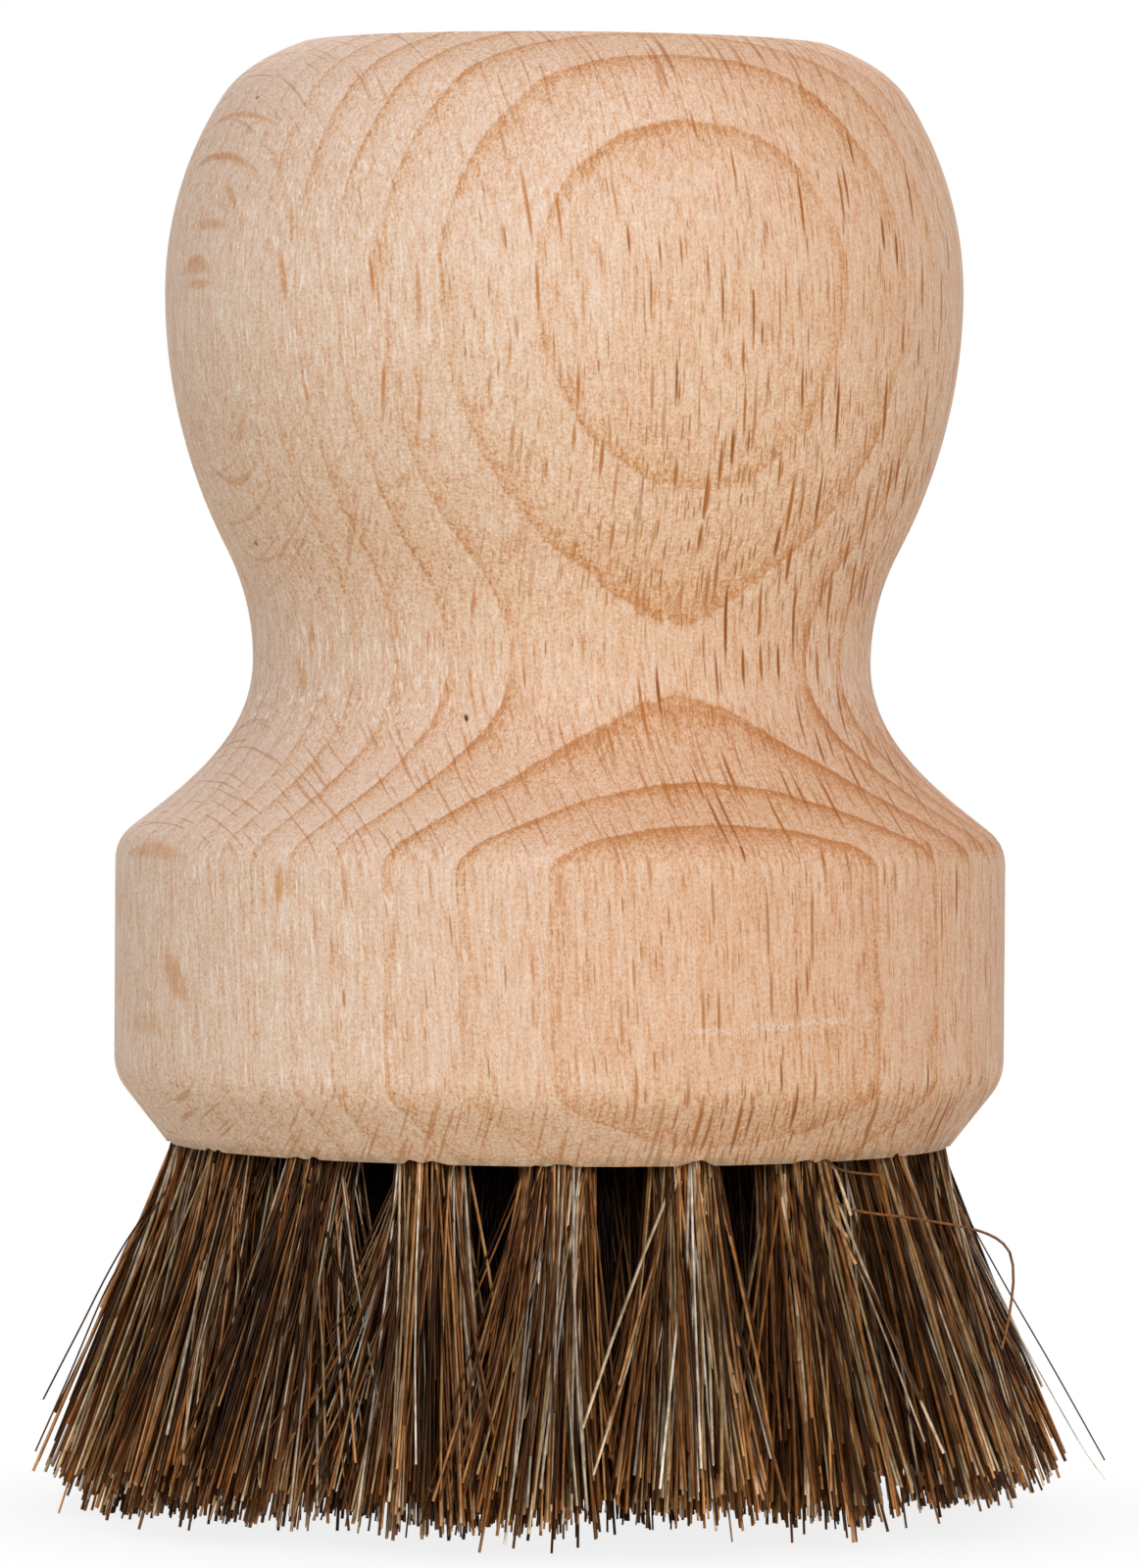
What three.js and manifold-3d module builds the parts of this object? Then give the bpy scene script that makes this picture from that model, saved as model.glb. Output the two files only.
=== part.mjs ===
// Palm-grip sieve brush: one turned beech handle, drilled underneath with blind splayed holes,
// and horsehair tufts folded over flat wire anchors and driven into those holes.
// Millimetres, +Z up. The origin is on the axis, at the level of the trimmed bristle tips.
import * as THREE from "three";
import { mergeVertices } from "three/addons/utils/BufferGeometryUtils.js";
import Module from "manifold-3d";

const wasm = await Module();
wasm.setup();

// Turned handle, listed from the underside up
const collarDiameter = 50;
const chamferWidth = 2.95;
const chamferHeight = 4.2;
const chamferRounding = 1.8;
const bandHeight = 12.7;
const bandRounding = 1.2;
const flareHeight = 10.1;
const flareSlope = THREE.MathUtils.degToRad(38);
const flareStraight = 4.5;
const waistStraight = 4.6;
const waistDiameter = 34.7;
const neckHeight = 20.7;
const neckWaistRadius = 13.6;
const bellyDiameter = 44.8;
const crownHeight = 13.9;
const crownRadius = 20.3;
const shoulderHeight = 3;
const shoulderRun = 4.5;

// Drilled holes: a centre hole and three rings, each with six holes more than the one inside it
const ringNames = ["centre", "inner", "middle", "outer"];
const holesPerRingStep = 6;
const holeDiameter = 4.3;
const holeDepth = 10;
const rimWidth = 0.4;
const outerSplay = THREE.MathUtils.degToRad(15);
const frontAzimuth = THREE.MathUtils.degToRad(-90);

// Flat wire anchors that hold each folded tuft at the bottom of its hole
const anchorThickness = 0.4;
const anchorHeight = 1.5;
const anchorBite = 0.3;
const foldThickness = 0.9;

// Horsehair: a few thick strands stand for each tuft's many hairs
const bristleLength = 21;
const strandsPerTuft = 12;
const strandDiameter = 0.6;
const tipGap = 0.3;
const tipRise = 1.5;
const sliceThickness = 1.2;

// Clearance between pieces that are pressed together on the real brush
const fitGap = 0.2;

// Facets
const turnSides = 54;
const holeSides = 8;
const strandSides = 3;

// Levels and radii worked out from the sizes above
const undersideLevel = bristleLength;
const chamferLevel = undersideLevel + chamferHeight;
const bandLevel = chamferLevel + bandHeight;
const waistLevel = bandLevel + flareHeight;
const bellyLevel = waistLevel + neckHeight;
const topLevel = bellyLevel + crownHeight;
const shoulderLevel = topLevel - shoulderHeight;
const collarRadius = collarDiameter / 2;
const undersideRadius = collarRadius - chamferWidth;
const recessRadius = undersideRadius - rimWidth;
const recessLevel = undersideLevel + sliceThickness + fitGap;
const holeRadius = holeDiameter / 2;
const outerRingRadius = recessRadius - holeRadius;
const ringCount = ringNames.length - 1;
const ringPitch = outerRingRadius / ringCount;
const plugRadius = holeRadius - fitGap;
const strandRadius = strandDiameter / 2;
const anchorLength = holeDiameter + 2 * anchorBite;
const anchorLevel = holeDepth - foldThickness - anchorHeight / 2;

const beech = new THREE.MeshStandardMaterial({ color: 0xdcb48c, roughness: 0.62, metalness: 0 });
const horsehair = new THREE.MeshStandardMaterial({ color: 0x4a3220, roughness: 0.5, metalness: 0 });
const anchorWire = new THREE.MeshStandardMaterial({ color: 0xb9b7b0, roughness: 0.35, metalness: 1 });

// Closed geometry to a boolean solid, and back to a geometry
function solidFrom(geometry) {
  const bare = geometry.clone();
  bare.deleteAttribute("normal");
  bare.deleteAttribute("uv");
  const merged = mergeVertices(bare, 1e-4);
  const vertProperties = merged.attributes.position.array;
  const triVerts = new Uint32Array(merged.index.array);
  return new wasm.Manifold(new wasm.Mesh({ numProp: 3, vertProperties, triVerts }));
}

function geometryFrom(solid) {
  const { vertProperties, triVerts } = solid.getMesh();
  const geometry = new THREE.BufferGeometry();
  geometry.setAttribute("position", new THREE.BufferAttribute(vertProperties, 3));
  geometry.setIndex(new THREE.BufferAttribute(triVerts, 1));
  geometry.computeVertexNormals();
  return geometry;
}

// Points along an arc of the profile, which is drawn as radius across and level up
function arc(centre, radius, from, to, steps) {
  const points = [];
  for (let i = 0; i <= steps; i++) {
    const angle = from + ((to - from) * i) / steps;
    const along = new THREE.Vector2(Math.cos(angle), Math.sin(angle));
    points.push(along.multiplyScalar(radius).add(centre));
  }
  return points;
}

// A corner rounded off between two neighbours, limited by the shorter of its two sides
function roundedCorner(before, corner, after, rounding, steps) {
  const sides = [before, after].map((end) => end.clone().sub(corner));
  const setback = Math.min(rounding, ...sides.map((side) => side.length() / 2));
  const [start, end] = sides.map((side) => side.setLength(setback).add(corner));
  return new THREE.QuadraticBezierCurve(start, corner, end).getPoints(steps);
}

// The wood turned on its axis: a closed profile from the underside's recess to the flat top
function handleProfile() {
  const underside = new THREE.Vector2(undersideRadius, undersideLevel);
  const chamferTop = new THREE.Vector2(collarRadius, chamferLevel);
  const bandTop = new THREE.Vector2(collarRadius, bandLevel);
  const flareEnd = new THREE.Vector2(-Math.cos(flareSlope), Math.sin(flareSlope));
  flareEnd.multiplyScalar(flareStraight).add(bandTop);
  const waist = new THREE.Vector2(waistDiameter / 2, waistLevel);
  const waistEnd = new THREE.Vector2(waist.x, waist.y - waistStraight);
  const flare = new THREE.CubicBezierCurve(bandTop, flareEnd, waistEnd, waist);

  // Waist to belly: a hollow arc and a full arc that meet at the same slope
  const bellyRadius = bellyDiameter / 2;
  const neckTurn = 2 * Math.atan((bellyRadius - waist.x) / neckHeight);
  const neckBellyRadius = neckHeight / Math.sin(neckTurn) - neckWaistRadius;
  const hollowCentre = new THREE.Vector2(waist.x + neckWaistRadius, waistLevel);
  const bellyCentre = new THREE.Vector2(bellyRadius - neckBellyRadius, bellyLevel);
  const hollow = arc(hollowCentre, neckWaistRadius, Math.PI, Math.PI - neckTurn, 4);
  const belly = arc(bellyCentre, neckBellyRadius, -neckTurn, 0, 5);

  // Belly to the flat top: the crown's arc, then a tighter shoulder that leaves it smoothly
  const crownTurn = Math.asin((shoulderLevel - bellyLevel) / crownRadius);
  const crownCentre = new THREE.Vector2(bellyRadius - crownRadius, bellyLevel);
  const crown = arc(crownCentre, crownRadius, 0, crownTurn, 5);
  const shoulderStart = crown.at(-1);
  const topEdge = new THREE.Vector2(shoulderStart.x - shoulderRun, topLevel);
  const outward = new THREE.Vector2(Math.cos(crownTurn), Math.sin(crownTurn));
  const chord = shoulderStart.clone().sub(topEdge);
  const shoulderRadius = chord.lengthSq() / (2 * chord.dot(outward));
  const shoulderCentre = shoulderStart.clone().addScaledVector(outward, -shoulderRadius);
  const shoulderTurn = topEdge.clone().sub(shoulderCentre).angle();
  const shoulder = arc(shoulderCentre, shoulderRadius, crownTurn, shoulderTurn, 4);

  return [
    new THREE.Vector2(0, recessLevel),
    new THREE.Vector2(recessRadius, recessLevel),
    new THREE.Vector2(recessRadius, undersideLevel),
    underside,
    ...roundedCorner(underside, chamferTop, bandTop, chamferRounding, 3),
    ...roundedCorner(chamferTop, bandTop, flareEnd, bandRounding, 3),
    ...flare.getPoints(7).slice(2),
    ...hollow.slice(1),
    ...belly.slice(1),
    ...crown.slice(1),
    ...shoulder.slice(1),
    new THREE.Vector2(0, topLevel),
  ];
}

// A closed profile turned round the Z axis
function turned(profile, sides) {
  return new THREE.LatheGeometry(profile, sides).rotateX(Math.PI / 2);
}

// A straight cylinder up the local Z axis, from one level to another
function bar(radius, from, to) {
  const length = to - from;
  const geometry = new THREE.CylinderGeometry(radius, radius, length, holeSides);
  return geometry.rotateX(Math.PI / 2).translate(0, 0, from + length / 2);
}

// One hole's seat: local Z runs up the hole, X away from the axis, Y along the ring
function holeSeat(radius, azimuth, splay) {
  const seat = new THREE.Group();
  seat.rotation.set(0, -splay, azimuth, "ZYX");
  seat.position.set(radius * Math.cos(azimuth), radius * Math.sin(azimuth), undersideLevel);
  seat.updateMatrixWorld();
  return seat;
}

// The rings of holes, from the centre hole out, each with the room that its tips have
function makeRings() {
  const rings = [];
  for (const [step, name] of ringNames.entries()) {
    const count = Math.max(1, step * holesPerRingStep);
    const radius = step * ringPitch;
    const splay = (outerSplay * step) / ringCount;
    const tipRadius = radius + bristleLength * Math.tan(splay);
    const phase = frontAzimuth + (step === ringCount ? 0 : Math.PI / count);
    const seats = [];
    for (let i = 0; i < count; i++) {
      seats.push(holeSeat(radius, phase + (2 * Math.PI * i) / count, splay));
    }
    rings.push({ name, count, step, radius, splay, tipRadius, phase, seats });
  }
  for (const ring of rings) {
    const neighbours = rings.filter((other) => Math.abs(other.step - ring.step) === 1);
    const room = neighbours.map((other) => Math.abs(other.tipRadius - ring.tipRadius));
    if (ring.count > 1) room.push(2 * ring.tipRadius * Math.sin(Math.PI / ring.count));
    ring.tipCell = Math.min(...room) / 2 - strandRadius - tipGap / 2;
  }
  return rings;
}

// The flat anchor in its seat, grown by a clearance where it is a cutter
function anchorGeometry(clearance) {
  const sizes = [anchorThickness, anchorLength, anchorHeight].map((size) => size + 2 * clearance);
  return new THREE.BoxGeometry(...sizes).translate(0, 0, anchorLevel);
}

// One strand, a slim prism between two level triangles, so that its tip is trimmed level
function strandGeometry(root, tip) {
  const corners = [root, tip].flatMap((end) =>
    Array.from({ length: strandSides }, (_, i) => {
      const angle = (2 * Math.PI * i) / strandSides;
      const { x, y, z } = end;
      return [x + strandRadius * Math.cos(angle), y + strandRadius * Math.sin(angle), z];
    }),
  );
  const faces = [];
  for (let i = 0; i < strandSides; i++) {
    const next = (i + 1) % strandSides;
    faces.push(i, strandSides + next, next, i, strandSides + i, strandSides + next);
  }
  for (let i = 1; i + 1 < strandSides; i++) {
    faces.push(0, i, i + 1, strandSides, strandSides + i + 1, strandSides + i);
  }
  const geometry = new THREE.BufferGeometry();
  geometry.setAttribute("position", new THREE.Float32BufferAttribute(corners.flat(), 3));
  return geometry.setIndex(faces);
}

// A tip's level: flat under the tufts, and rising where the outer tufts lean furthest out
function tipLevel(x, y, outerRing) {
  const lean = (Math.hypot(x, y) - outerRing.tipRadius) / outerRing.tipCell;
  return tipRise * Math.max(0, lean) ** 2;
}

// The strands of one tuft, spread evenly over its hole and, wider apart, over its tips
function tuftStrands(ring, index, outerRing) {
  const azimuth = ring.phase + (2 * Math.PI * index) / ring.count;
  const goldenAngle = Math.PI * (3 - Math.sqrt(5));
  const strands = [];
  for (let i = 0; i < strandsPerTuft; i++) {
    const share = Math.sqrt((i + 0.5) / strandsPerTuft);
    const around = new THREE.Vector2(share, 0).rotateAround(new THREE.Vector2(), i * goldenAngle);
    const place = (ringRadius, cell) =>
      around
        .clone()
        .multiplyScalar(cell)
        .add(new THREE.Vector2(ringRadius, 0))
        .rotateAround(new THREE.Vector2(), azimuth);
    const start = place(ring.radius, plugRadius - strandRadius);
    const end = place(ring.tipRadius, ring.tipCell);
    const root = new THREE.Vector3(start.x, start.y, undersideLevel + sliceThickness / 2);
    const tip = new THREE.Vector3(end.x, end.y, tipLevel(end.x, end.y, outerRing));
    strands.push(solidFrom(strandGeometry(root, tip)));
  }
  return strands;
}

// The slice of backing that carries one ring of tufts, lying in the handle's recess
function sliceGeometry(ring) {
  const inside = ring.step === 0 ? 0 : (ring.step - 0.5) * ringPitch + fitGap / 2;
  const isOuter = ring.step === ringCount;
  const outside = isOuter ? recessRadius - fitGap : (ring.step + 0.5) * ringPitch - fitGap / 2;
  const profile = [
    new THREE.Vector2(inside, undersideLevel),
    new THREE.Vector2(outside, undersideLevel),
    new THREE.Vector2(outside, undersideLevel + sliceThickness),
    new THREE.Vector2(inside, undersideLevel + sliceThickness),
  ];
  if (inside > 0) profile.push(profile[0].clone());
  return turned(profile, Math.max(turnSides / 3, ring.count * 2));
}

// One ring of tufts: packed roots up in the holes, strands below, and slots for the anchors
function ringOfTufts(ring, outerRing) {
  const plugFrom = plugRadius * Math.tan(ring.splay) + fitGap / 2;
  const plug = bar(plugRadius, plugFrom, holeDepth - fitGap);
  let tufts = solidFrom(sliceGeometry(ring));
  for (const [index, seat] of ring.seats.entries()) {
    tufts = tufts.add(solidFrom(plug.clone().applyMatrix4(seat.matrixWorld)));
    for (const strand of tuftStrands(ring, index, outerRing)) tufts = tufts.add(strand);
    tufts = tufts.subtract(anchorSlot(seat));
  }
  return geometryFrom(tufts);
}

function anchorSlot(seat) {
  return solidFrom(anchorGeometry(fitGap).applyMatrix4(seat.matrixWorld));
}

// The handle: the turned blank with every hole and every anchor's bite cut out of it
function drilledHandle(rings) {
  let handle = solidFrom(turned(handleProfile(), turnSides));
  for (const seat of rings.flatMap((ring) => ring.seats)) {
    const hole = bar(holeRadius, 0, holeDepth).applyMatrix4(seat.matrixWorld);
    handle = handle.subtract(solidFrom(hole)).subtract(anchorSlot(seat));
  }
  return geometryFrom(handle);
}

function namedMesh(name, geometry, material) {
  const mesh = new THREE.Mesh(geometry, material);
  mesh.name = name;
  return mesh;
}

const rings = makeRings();
const brush = new THREE.Group();
brush.add(namedMesh("handle", drilledHandle(rings), beech));
for (const ring of rings) {
  const ringName = ring.count > 1 ? `tufts_${ring.name}_ring` : `tuft_${ring.name}`;
  brush.add(namedMesh(ringName, ringOfTufts(ring, rings.at(-1)), horsehair));
  for (const [index, seat] of ring.seats.entries()) {
    const number = ring.count > 1 ? `_${String(index + 1).padStart(2, "0")}` : "";
    seat.add(namedMesh(`anchor_${ring.name}${number}`, anchorGeometry(0), anchorWire));
    brush.add(seat);
  }
}

export default brush;
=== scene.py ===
# Sieve brush: a turned and drilled beech handle with rings of splayed horsehair tufts.
import math
from functools import partial
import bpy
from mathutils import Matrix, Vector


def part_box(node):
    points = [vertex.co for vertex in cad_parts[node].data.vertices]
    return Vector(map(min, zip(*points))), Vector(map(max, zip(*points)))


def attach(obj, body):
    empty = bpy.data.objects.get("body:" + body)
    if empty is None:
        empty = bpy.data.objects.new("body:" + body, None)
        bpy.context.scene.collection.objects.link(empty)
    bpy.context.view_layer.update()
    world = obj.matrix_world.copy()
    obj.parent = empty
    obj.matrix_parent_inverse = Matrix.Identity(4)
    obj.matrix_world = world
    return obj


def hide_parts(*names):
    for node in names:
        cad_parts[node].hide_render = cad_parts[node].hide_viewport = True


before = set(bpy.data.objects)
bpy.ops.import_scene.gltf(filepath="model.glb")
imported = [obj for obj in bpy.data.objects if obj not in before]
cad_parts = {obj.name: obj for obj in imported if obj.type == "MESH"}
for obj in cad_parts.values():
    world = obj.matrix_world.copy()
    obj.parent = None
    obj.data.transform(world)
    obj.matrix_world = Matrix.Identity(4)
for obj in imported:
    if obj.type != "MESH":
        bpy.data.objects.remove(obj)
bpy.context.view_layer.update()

from types import SimpleNamespace

import bpy
from mathutils import Vector

MM = 0.001

# The handle's ends and collar, as packed
handle_low, handle_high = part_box("handle")
UNDERSIDE = handle_low.z
TOP = handle_high.z
COLLAR_RADIUS = (handle_high.y - handle_low.y) / 2

# Turned profile, from the underside up
CHAMFER_WIDTH = 2.95 * MM
CHAMFER_HEIGHT = 3.75 * MM
CHAMFER_ROUNDING = 1.1 * MM
BAND_HEIGHT = 13.15 * MM
BAND_ROUNDING = 1.2 * MM
FLARE_HEIGHT = 10.1 * MM
FLARE_SLOPE = math.radians(38)
FLARE_STRAIGHT = 4.5 * MM
WAIST_STRAIGHT = 4.6 * MM
WAIST_RADIUS = 17.35 * MM
NECK_HEIGHT = 20.7 * MM
NECK_WAIST_ARC = 13.6 * MM
BELLY_RADIUS = 22.4 * MM
CROWN_ARC = 20.3 * MM
SHOULDER_HEIGHT = 3 * MM
SHOULDER_RUN = 4.4 * MM
RIM_SLOPE = math.radians(20)
RIM_WIDTH = 0.3 * MM
# Steps along its curves; the band's rounding takes the place of the flare's first ones
CURVE_STEPS = 24
SHOULDER_STEPS = 12
ROUNDING_STEPS = 8
FLARE_SKIPPED = 6

# Drilled holes
HOLE_RADIUS = 2.15 * MM
HOLE_DEPTH = 10 * MM
HOLE_TO_CHAMFER = 0.4 * MM
OUTER_RING = COLLAR_RADIUS - CHAMFER_WIDTH - HOLE_TO_CHAMFER - HOLE_RADIUS
OUTER_SPLAY = math.radians(15)
MOUTH_FLARE = 0.3 * MM
MOUTH_CHIP = 0.7 * MM
CHIPPED_DEPTH = 0.8 * MM
CHIPS_PER_METRE = 1.1 / MM
RING_NODES = ("tuft_centre", "tufts_inner_ring", "tufts_middle_ring", "tufts_outer_ring")
HOLES_PER_STEP = 6
FRONT = math.radians(-90)

# How finely the handle and the drill bit are meshed, and how far below the underside the bit starts
HANDLE_SIDES = 180
BIT_SIDES = 28
BIT_ROWS = 16
BIT_BELOW = 1.5 * MM
SEAM_GAP = 0.001 * MM
SHARP_EDGE = math.radians(38)

# Horsehair
HAIRS_PER_TUFT = 400
STRAYS_PER_TUFT = 60
HAIR_RADIUS = 0.09 * MM
THINNEST_HAIR = 0.68
THICKEST_HAIR = 1.3
HAIR_POINTS = 5
HAIR_SIDES = 3
LOOSE_HAIR_POINTS = 28
LOOSE_HAIR_SIDES = 5
HAIR_LENGTH = UNDERSIDE - 0.75 * MM
INNER_RINGS_SHORTER = 0.8 * MM
# How far the inner rings' hair tones are lowered: painted shade between the outer ring's tufts
INNER_RINGS_PAINTED_SHADE = 0.3
HAIR_IN_HOLE = 3 * MM
PACKED_RADIUS = 2.05 * MM
HAIR_PRESSED_OUT = 0.4 * MM
HAIR_REACH = 30.5 * MM
# The bristles are cut a little shorter towards +X, and not quite alike from tuft to tuft and wisp to wisp
CUT_SLOPE = 0.022
TUFT_CUT = 0.55 * MM
LONGER_WISP = -0.5 * MM
SHORTER_WISP = 0.9 * MM
WISPS_PER_METRE = 1.1 / MM
# Tones spread this far, and hairs of like tones stand together
HAIR_TONES = 0.95
CLUMP_TONES = 0.8
CLUMPS_PER_METRE = 0.5 / MM
# How rare hairs far astray, short ones and overlong ones are: the higher, the rarer
WILD_RARITY = 5.0
RAGGED_RARITY = 1.4
OVERLONG_RARITY = 24.0
# Above this chance a hair is broken off, at most down to this share of its length
BROKEN_CHANCE = 0.72
BROKEN_SHARE = 0.62
# A hair ends this share of the way to the floor at most, and within these shares of HAIR_REACH
FLOOR_SHARE = 0.997
REACH_SHARES = (0.9, 1.03)
# How far hairs bend back from the fan, where a bend would end in lengths of the hair, and how far hairs
# close up inside the hole
FAN_BEND = 0.3
BEND_END = 1.3
CLOSED_IN_HOLE = 0.2
# Seeds: how far apart they are from ring to ring, and where the strays' begin
RING_SEEDS = 40
STRAYS_SEED = 300

# Camera, from the photo's frame of 1162 by 1600
PHOTO_WIDTH = 1162
PHOTO_HEIGHT = 1600
PIXEL = 50 / 907.5 * MM
AXIS_COLUMN = 572.2
HORIZON_ROW = 548
UNDERSIDE_ROW = 1165
CAMERA_DISTANCE = 541 * MM
CAMERA_ROLL = math.radians(0.4)
SENSOR = 36

# Loose hairs that stand out of the tufts: tone, girth, and their course from inside a hole to the tip,
# as the photo's column and row at a depth of y in mm
LOOSE_HAIRS = {
    "brown_curl": (0.6, 0.9, (
        (828, 1146, -14.8), (834, 1186, -15.2), (848, 1222, -16.6), (872, 1235, -17.2), (937, 1244, -15),
        (999, 1256, -10.5), (1027, 1273, -8), (1034, 1300, -7), (1030, 1340, -7.5), (1022, 1376, -8))),
    "black_straight": (0.05, 0.5, (
        (940, 1132, -3.4), (949, 1169, -3.4), (1018, 1298, -4), (1075, 1397, -4.5), (1127, 1490, -5))),
    "pale_straight": (1.0, 0.4, (
        (931, 1125, 3.4), (940, 1161, 3.4), (1012, 1310, 3), (1096, 1463, 2), (1128, 1510, 2))),
    "black_left": (0.05, 0.6, (
        (205, 1132, -3.4), (196, 1169, -3.4), (126, 1271, -4), (79, 1360, -5), (44, 1428, -5))),
    "grey_left": (0.3, 0.6, (
        (205, 1132, -3.4), (197, 1169, -3.8), (150, 1245, -5), (110, 1312, -6), (72, 1400, -6),
        (36, 1481, -6))),
    "pale_stub": (0.9, 1.0, (
        (838, 1146, -14.6), (846, 1184, -16.2), (853, 1196, -17.2), (868, 1240, -18.8))),
    "ginger_stub": (0.75, 1.1, (
        (828, 1146, -14.6), (836, 1190, -16.8), (845, 1226, -18.6), (852, 1246, -19.2),
        (864, 1262, -19.4))),
    "orange_stub": (0.7, 1.1, (
        (832, 1146, -14.6), (845, 1200, -16.8), (860, 1262, -19), (873, 1290, -19.8))),
    "brown_stub": (0.45, 0.8, (
        (838, 1146, -14.6), (846, 1184, -16.4), (863, 1195, -17.4), (897, 1199, -16))),
}


class Nodes:
    """A node tree that is filled by short calls."""

    def __init__(self, tree):
        self.tree = tree

    def add(self, kind, *inputs, named=None, **settings):
        node = self.tree.nodes.new(kind)
        for name, value in settings.items():
            setattr(node, name, value)
        for place, value in enumerate(inputs):
            if value is not None:
                self.plug(node.inputs[place], value)
        self.fill(node, named or {})
        return node

    def fill(self, node, values):
        """Gives some of a node's inputs their values, by name."""
        for name, value in values.items():
            live = (socket for socket in node.inputs if socket.enabled)
            self.plug(next(socket for socket in live if socket.name == name), value)

    def plug(self, socket, value):
        if isinstance(value, bpy.types.Node):
            value = next(output for output in value.outputs if output.enabled)
        if isinstance(value, bpy.types.NodeSocket):
            self.tree.links.new(value, socket)
        else:
            socket.default_value = value

    def math(self, operation, *inputs):
        return self.add("ShaderNodeMath", *inputs, operation=operation)

    def times(self, product, *factors):
        for factor in factors:
            product = self.math("MULTIPLY", product, factor)
        return product

    def scaled(self, value, factor, added):
        """A value times a factor, plus what is added."""
        return self.math("MULTIPLY_ADD", value, factor, added)

    def swing(self, noise, size, value):
        """Moves a value by a noise, up to half of the size each way."""
        return self.scaled(self.math("SUBTRACT", noise, 0.5), size, value)

    def vector(self, operation, *inputs):
        node = self.add("ShaderNodeVectorMath", *inputs, operation=operation)
        return node.outputs["Value" if operation in ("DOT_PRODUCT", "LENGTH") else "Vector"]

    def scale(self, vector, factor):
        return self.vector("SCALE", vector, None, None, factor)

    def combine(self, x, y, z):
        return self.add("ShaderNodeCombineXYZ", x, y, z)

    def part(self, vector, axis):
        return self.add("ShaderNodeSeparateXYZ", vector).outputs[axis]

    def compass(self, angle):
        """A level direction at an angle round the axis."""
        return self.combine(self.math("COSINE", angle), self.math("SINE", angle), 0.0)

    def attribute(self, name, kind="FLOAT_VECTOR"):
        return self.add("GeometryNodeInputNamedAttribute", name, data_type=kind)

    def object_place(self):
        return self.add("ShaderNodeTexCoord").outputs["Object"]

    def between(self, value, low, high, out_low=0.0, out_high=1.0, smooth=True):
        interpolation = "SMOOTHSTEP" if smooth else "LINEAR"
        return self.add("ShaderNodeMapRange", value, low, high, out_low, out_high,
                        interpolation_type=interpolation)

    def ramp(self, value, stops, interpolation="LINEAR"):
        node = self.add("ShaderNodeValToRGB", value)
        node.color_ramp.interpolation = interpolation
        elements = node.color_ramp.elements
        while len(elements) < len(stops):
            elements.new(1.0)
        for element, (position, colour) in zip(elements, stops):
            element.position = position
            element.color = (*colour, 1)
        return node

    def mix(self, factor, first, second, blend="MIX"):
        node = self.add("ShaderNodeMix", data_type="RGBA", blend_type=blend)
        for place, value in ((0, factor), (6, first), (7, second)):
            colour = isinstance(value, tuple) and len(value) == 3
            self.plug(node.inputs[place], (*value, 1) if colour else value)
        return node.outputs[2]

    def noise(self, place, scale, detail=2.0, roughness=0.5):
        """A noise of one scale, or of three for x, y and z."""
        if isinstance(scale, tuple):
            return self.noise(self.vector("MULTIPLY", place, scale), 1.0, detail, roughness)
        return self.add("ShaderNodeTexNoise", named={
            "Vector": place, "Scale": scale, "Detail": detail, "Roughness": roughness})


def placed(name, data):
    thing = bpy.data.objects.new(name, data)
    bpy.context.collection.objects.link(thing)
    return thing


# Finishes

def shader(name):
    material = bpy.data.materials.new(name)
    material.use_nodes = True
    nodes = Nodes(material.node_tree)
    return material, nodes, material.node_tree.nodes["Principled BSDF"]


# Beech: growth rings lie across RING_AZIMUTH, counted from the camera towards +X. Away from RING_LEVEL
# they lean and twist, and they bow round the heart of the tree
RING_AZIMUTH = math.radians(21.3)
RING_LEVEL = 40
RING_LEAN = -0.0015
RING_TWIST = -0.001
RING_BOW = -0.0017
RING_STEP = 2.2
RING_SPAN = 30
# How far the fibres and rays drift along the rings for each mm of height
GRAIN_LEAN = 0.05
# Where rings end, in mm from the axis, then how dark their late wood and the whole ring are,
# on the side that the photo shows
RINGS = ((3.3, 0.6, 0.1), (5.5, 0.68, 0.1), (7.7, 0.77, 0.1), (10.2, 0.86, 0.1), (12.7, 0.92, 0.1),
         (14.9, 0.96, 0.15), (17.5, 1.0, 0.25), (20.35, 0.9, 0.3), (22.9, 0.76, 0.65), (26.2, 0.3, 0.7))


def growth_rings(nodes, across):
    """How far each point is through its growth ring, and how dark its late wood and the ring are."""
    rings = list(RINGS)
    # The rings of the far side follow a rule, and those past the near side lie outside the wood
    while rings[0][0] > -RING_SPAN:
        rings.insert(0, (rings[0][0] - RING_STEP, 0.4 + 0.1 * (len(rings) % 5), 0.2))
    while rings[-1][0] < RING_SPAN:
        rings.append((rings[-1][0] + RING_STEP, 0.7, 0.5))
    low, high = rings[0][0], rings[-1][0]
    place = nodes.between(across, low, high, smooth=False)
    curve = nodes.add("ShaderNodeFloatCurve", named={"Value": place})
    points = curve.mapping.curves[0].points
    stops = []
    for edge, line, body in rings[1:-1]:
        points.new((edge - low) / (high - low), 0.5)
        stops.append(((edge - low) / (high - low), (line, body, 0)))
    for index, point in enumerate(points):
        point.location.y = index / (len(rings) - 1)
        point.handle_type = "VECTOR"
    curve.mapping.update()
    through = nodes.math("FRACT", nodes.times(curve, len(rings) - 1))
    depths = nodes.add("ShaderNodeSeparateColor", nodes.ramp(place, stops, "CONSTANT"))
    return through, depths.outputs[0], depths.outputs[1]


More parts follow.
